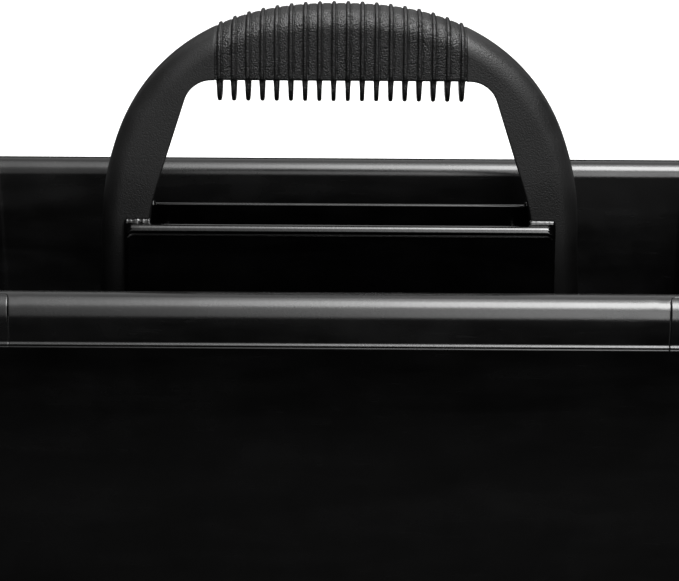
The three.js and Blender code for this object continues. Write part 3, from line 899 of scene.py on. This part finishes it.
def grained_plastic(name, dark, light, base_rough, grain, depth, painted_shade_span=None):
    """Matte plastic with a pebble grain.

    The last argument, if given, is a range of heights, in metres, of painted shade: the plastic goes
    from dull and dark below, standing in for the shade deep in the tub, to its full tone above.
    """
    g = Graph(name)
    pebble = g.cells(grain)
    fine = g.noise(grain * 1.9, 2.0, 0.6)
    broad = g.noise(45.0, 3.0, 0.55)
    height = g.math("ADD", g.math("MULTIPLY", pebble, -1.0), g.math("MULTIPLY", fine, 0.6))
    tone = g.spread(g.math("ADD", g.math("MULTIPLY", broad, 0.6), g.math("MULTIPLY", fine, 0.4)),
                    0.35, 0.65, 0.0, 1.0)
    # painted shade: tone and gloss fall towards the bottom, for the shade deep in the tub
    if painted_shade_span:
        level = g.spread(g.along("Z"), painted_shade_span[0], painted_shade_span[1], 0.12, 1.0)
        tone = g.math("MULTIPLY", tone, level)
        g.links.new(g.math("MULTIPLY", level, 0.5), g.shader.inputs["Specular IOR Level"])
    g.colour(tone, dark, light)
    g.roughness(g.spread(broad, 0.3, 0.7, base_rough - 0.06, base_rough + 0.05))
    g.bump(height, depth)
    return g.material


def zinc_steel():
    """Zinc-plated steel with fine turning marks."""
    g = Graph("zinc_plated_steel")
    cloud = g.noise(500.0, 3.0, 0.6)
    g.colour(g.spread(cloud, 0.3, 0.7, 0.0, 1.0), (0.42, 0.42, 0.40), (0.62, 0.62, 0.60))
    g.roughness(g.spread(cloud, 0.3, 0.7, 0.28, 0.42))
    g.bump(g.noise(2500.0, 2.0, 0.5), 0.00001)
    g.shader.inputs["Metallic"].default_value = 1.0
    return g.material


# ---------------------------------------------------------------- stage


def seen_by_camera(nodes, links, seen, otherwise):
    """A value that is one thing to the camera and another to reflections and bounced light."""
    ray = nodes.new("ShaderNodeLightPath")
    pick = nodes.new("ShaderNodeMapRange")
    pick.inputs["To Max"].default_value = seen
    if isinstance(otherwise, float):
        pick.inputs["To Min"].default_value = otherwise
    else:
        links.new(otherwise, pick.inputs["To Min"])
    links.new(ray.outputs["Is Camera Ray"], pick.inputs["Value"])
    return pick.outputs["Result"]


def build_floor():
    """A pale floor, darker to reflections and bounced light than to the camera.

    To them it is darkest in front of the tub, painted shade that stands in for shadow there, and
    lighter behind it and beside it.
    """
    half = 8.0
    mesh = bpy.data.meshes.new("floor")
    mesh.from_pydata([(-half, -half, 0), (half, -half, 0), (half, half, 0), (-half, half, 0)],
                     [], [(0, 1, 2, 3)])
    floor = bpy.data.objects.new("floor", mesh)
    bpy.context.scene.collection.objects.link(floor)
    g = Graph("pale_floor")
    g.shader.inputs["Roughness"].default_value = 0.9
    g.shader.inputs["Specular IOR Level"].default_value = 0.0
    g.shader.inputs["Emission Color"].default_value = (1, 1, 1, 1)
    depth = g.along("Y")
    # painted shade: near black to reflections in front of the tub, lighter behind it
    painted_shade_in_front = g.math("MULTIPLY", g.spread(depth, -0.1, 0.3, 0.03, 0.45),
                      g.spread(depth, -0.38, -0.29, 0.05, 1.0))
    aside = g.spread(g.math("ABSOLUTE", g.along("X"), 0.0), 0.32, 0.55, 0.0, 0.35)
    albedo = seen_by_camera(g.nodes, g.links, 0.85, g.math("MAXIMUM", painted_shade_in_front, aside))
    paint = g.nodes.new("ShaderNodeCombineColor")
    for channel in ("Red", "Green", "Blue"):
        g.links.new(albedo, paint.inputs[channel])
    g.links.new(paint.outputs["Color"], g.shader.inputs["Base Color"])
    glow = seen_by_camera(g.nodes, g.links, 0.6, 0.0)
    g.links.new(glow, g.shader.inputs["Emission Strength"])
    mesh.materials.append(g.material)


def tunnel_panel(first, last, x0, x1, radiance):
    """One panel of a tunnel of light whose axis runs along the tub's front rim.

    first and last are the panel's edges in degrees up from the horizon behind the tub.
    """
    reach = 1.6
    axis = Vector((0, tub_low[1] * MM, RIM_Z * MM))
    middle = math.radians((first + last) / 2)
    out = Vector((0, math.cos(middle), math.sin(middle)))
    place = axis + out * reach + Vector(((x0 + x1) / 2, 0, 0))
    height = 2 * reach * math.tan(math.radians(last - first) / 2)
    data = bpy.data.lights.new("tunnel", "AREA")
    data.shape = "RECTANGLE"
    data.size, data.size_y = x1 - x0, height
    data.energy = math.pi * data.size * data.size_y * radiance
    light = bpy.data.objects.new(f"tunnel_{first}_{x0}", data)
    light.location = place
    light.rotation_euler = Euler((middle - math.pi / 2, 0, 0))
    bpy.context.scene.collection.objects.link(light)


def build_lights():
    """A tunnel of soft panels, brightest overhead and to the right, in a dim surround.

    A row holds its first and last degree, its edges along x and its panels' radiance.
    """
    world = bpy.data.worlds.new("studio")
    bpy.context.scene.world = world
    world.use_nodes = True
    nodes, links = world.node_tree.nodes, world.node_tree.links
    nodes["Background"].inputs["Color"].default_value = (1, 1, 1, 1)
    links.new(seen_by_camera(nodes, links, 1.0, 0.015), nodes["Background"].inputs["Strength"])
    wide = (-0.9, -0.2, -0.06, 0.06, 0.2, 0.9)
    narrow = (-0.6, -0.2, -0.06, 0.06, 0.2, 0.5)
    rows = (
        (22, 70, wide, (0.8, 0.9, 1.0, 1.1, 1.1)),
        (70, 88, wide, (1.8, 3.0, 4.0, 5.0, 5.0)),
        (88, 122, wide, (1.7, 4.7, 8.8, 16.0, 23.0)),
        (122, 138, narrow, (0.8, 1.6, 2.2, 3.0, 4.0)),
        (138, 160, narrow, (0.5, 1.2, 1.9, 3.4, 6.4)),
        (160, 171, narrow, (0.5, 1.2, 1.8, 3.2, 6.6)),
        (171, 180, narrow, (0.5, 1.2, 1.7, 3.0, 5.6)),
    )
    for first, last, edges, row in rows:
        for x0, x1, radiance in zip(edges, edges[1:], row):
            tunnel_panel(first, last, x0, x1, radiance)


def build_camera():
    """Straight at the long side from above, at the reference picture's angle."""
    distance, elevation = 1.573, math.radians(14.95)
    pitch, roll = math.radians(16.22), math.radians(0.35)
    data = bpy.data.cameras.new("camera")
    data.lens = 166.8
    data.sensor_width = 36.0
    data.clip_start, data.clip_end = 0.05, 50.0
    camera = bpy.data.objects.new("camera", data)
    aim = Vector((0, 0, RIM_Z * MM))
    camera.location = aim + distance * Vector((0, -math.cos(elevation), math.sin(elevation)))
    level = Euler((math.pi / 2 - pitch, 0, 0)).to_matrix().to_4x4()
    camera.rotation_euler = (level @ Matrix.Rotation(roll, 4, "Z")).to_euler()
    bpy.context.scene.collection.objects.link(camera)
    bpy.context.scene.camera = camera


# ---------------------------------------------------------------- assembly

bpy.context.scene.view_settings.view_transform = "Standard"

shell_black = gloss_plastic("gloss_black_plastic", (0.0004, 0.0004, 0.0004),
                            (0.0014, 0.0014, 0.0015), 0.24)
insert_black = gloss_plastic("insert_black_plastic", (0.0003, 0.0003, 0.0003),
                             (0.0011, 0.0011, 0.0012), 0.13)
guard_black = gloss_plastic("guard_black_plastic", (0.0006, 0.0006, 0.0006),
                            (0.0020, 0.0020, 0.0021), 0.25)
# the handle's last argument paints shade on its legs below 0.2 m, for the shade inside the tub
handle_black = grained_plastic("grained_black_plastic", (0.0006, 0.0006, 0.0006),
                               (0.0035, 0.0035, 0.0036), 0.52, 1500.0, 0.00010, (0.125, 0.2))
grip_black = grained_plastic("soft_black_elastomer", (0.0008, 0.0008, 0.0008),
                             (0.0045, 0.0045, 0.0047), 0.44, 1150.0, 0.00036)
steel = zinc_steel()

build_tub(shell_black)
build_well(insert_black)
build_handle(handle_black)
build_grip(grip_black)
for side_name, sy in (("front", -1), ("back", 1)):
    for end_name, sx in (("left", -1), ("right", 1)):
        place = f"{side_name}_{end_name}"
        build_guard(f"guard_cap_{place}", sx, sy, guard_black, f"corner_guard_{place}")
        build_screw(f"screw_{place}", sx * SCREW_X, sy * SCREW_Y, steel, f"handle_screw_{place}")

build_floor()
build_lights()
build_camera()
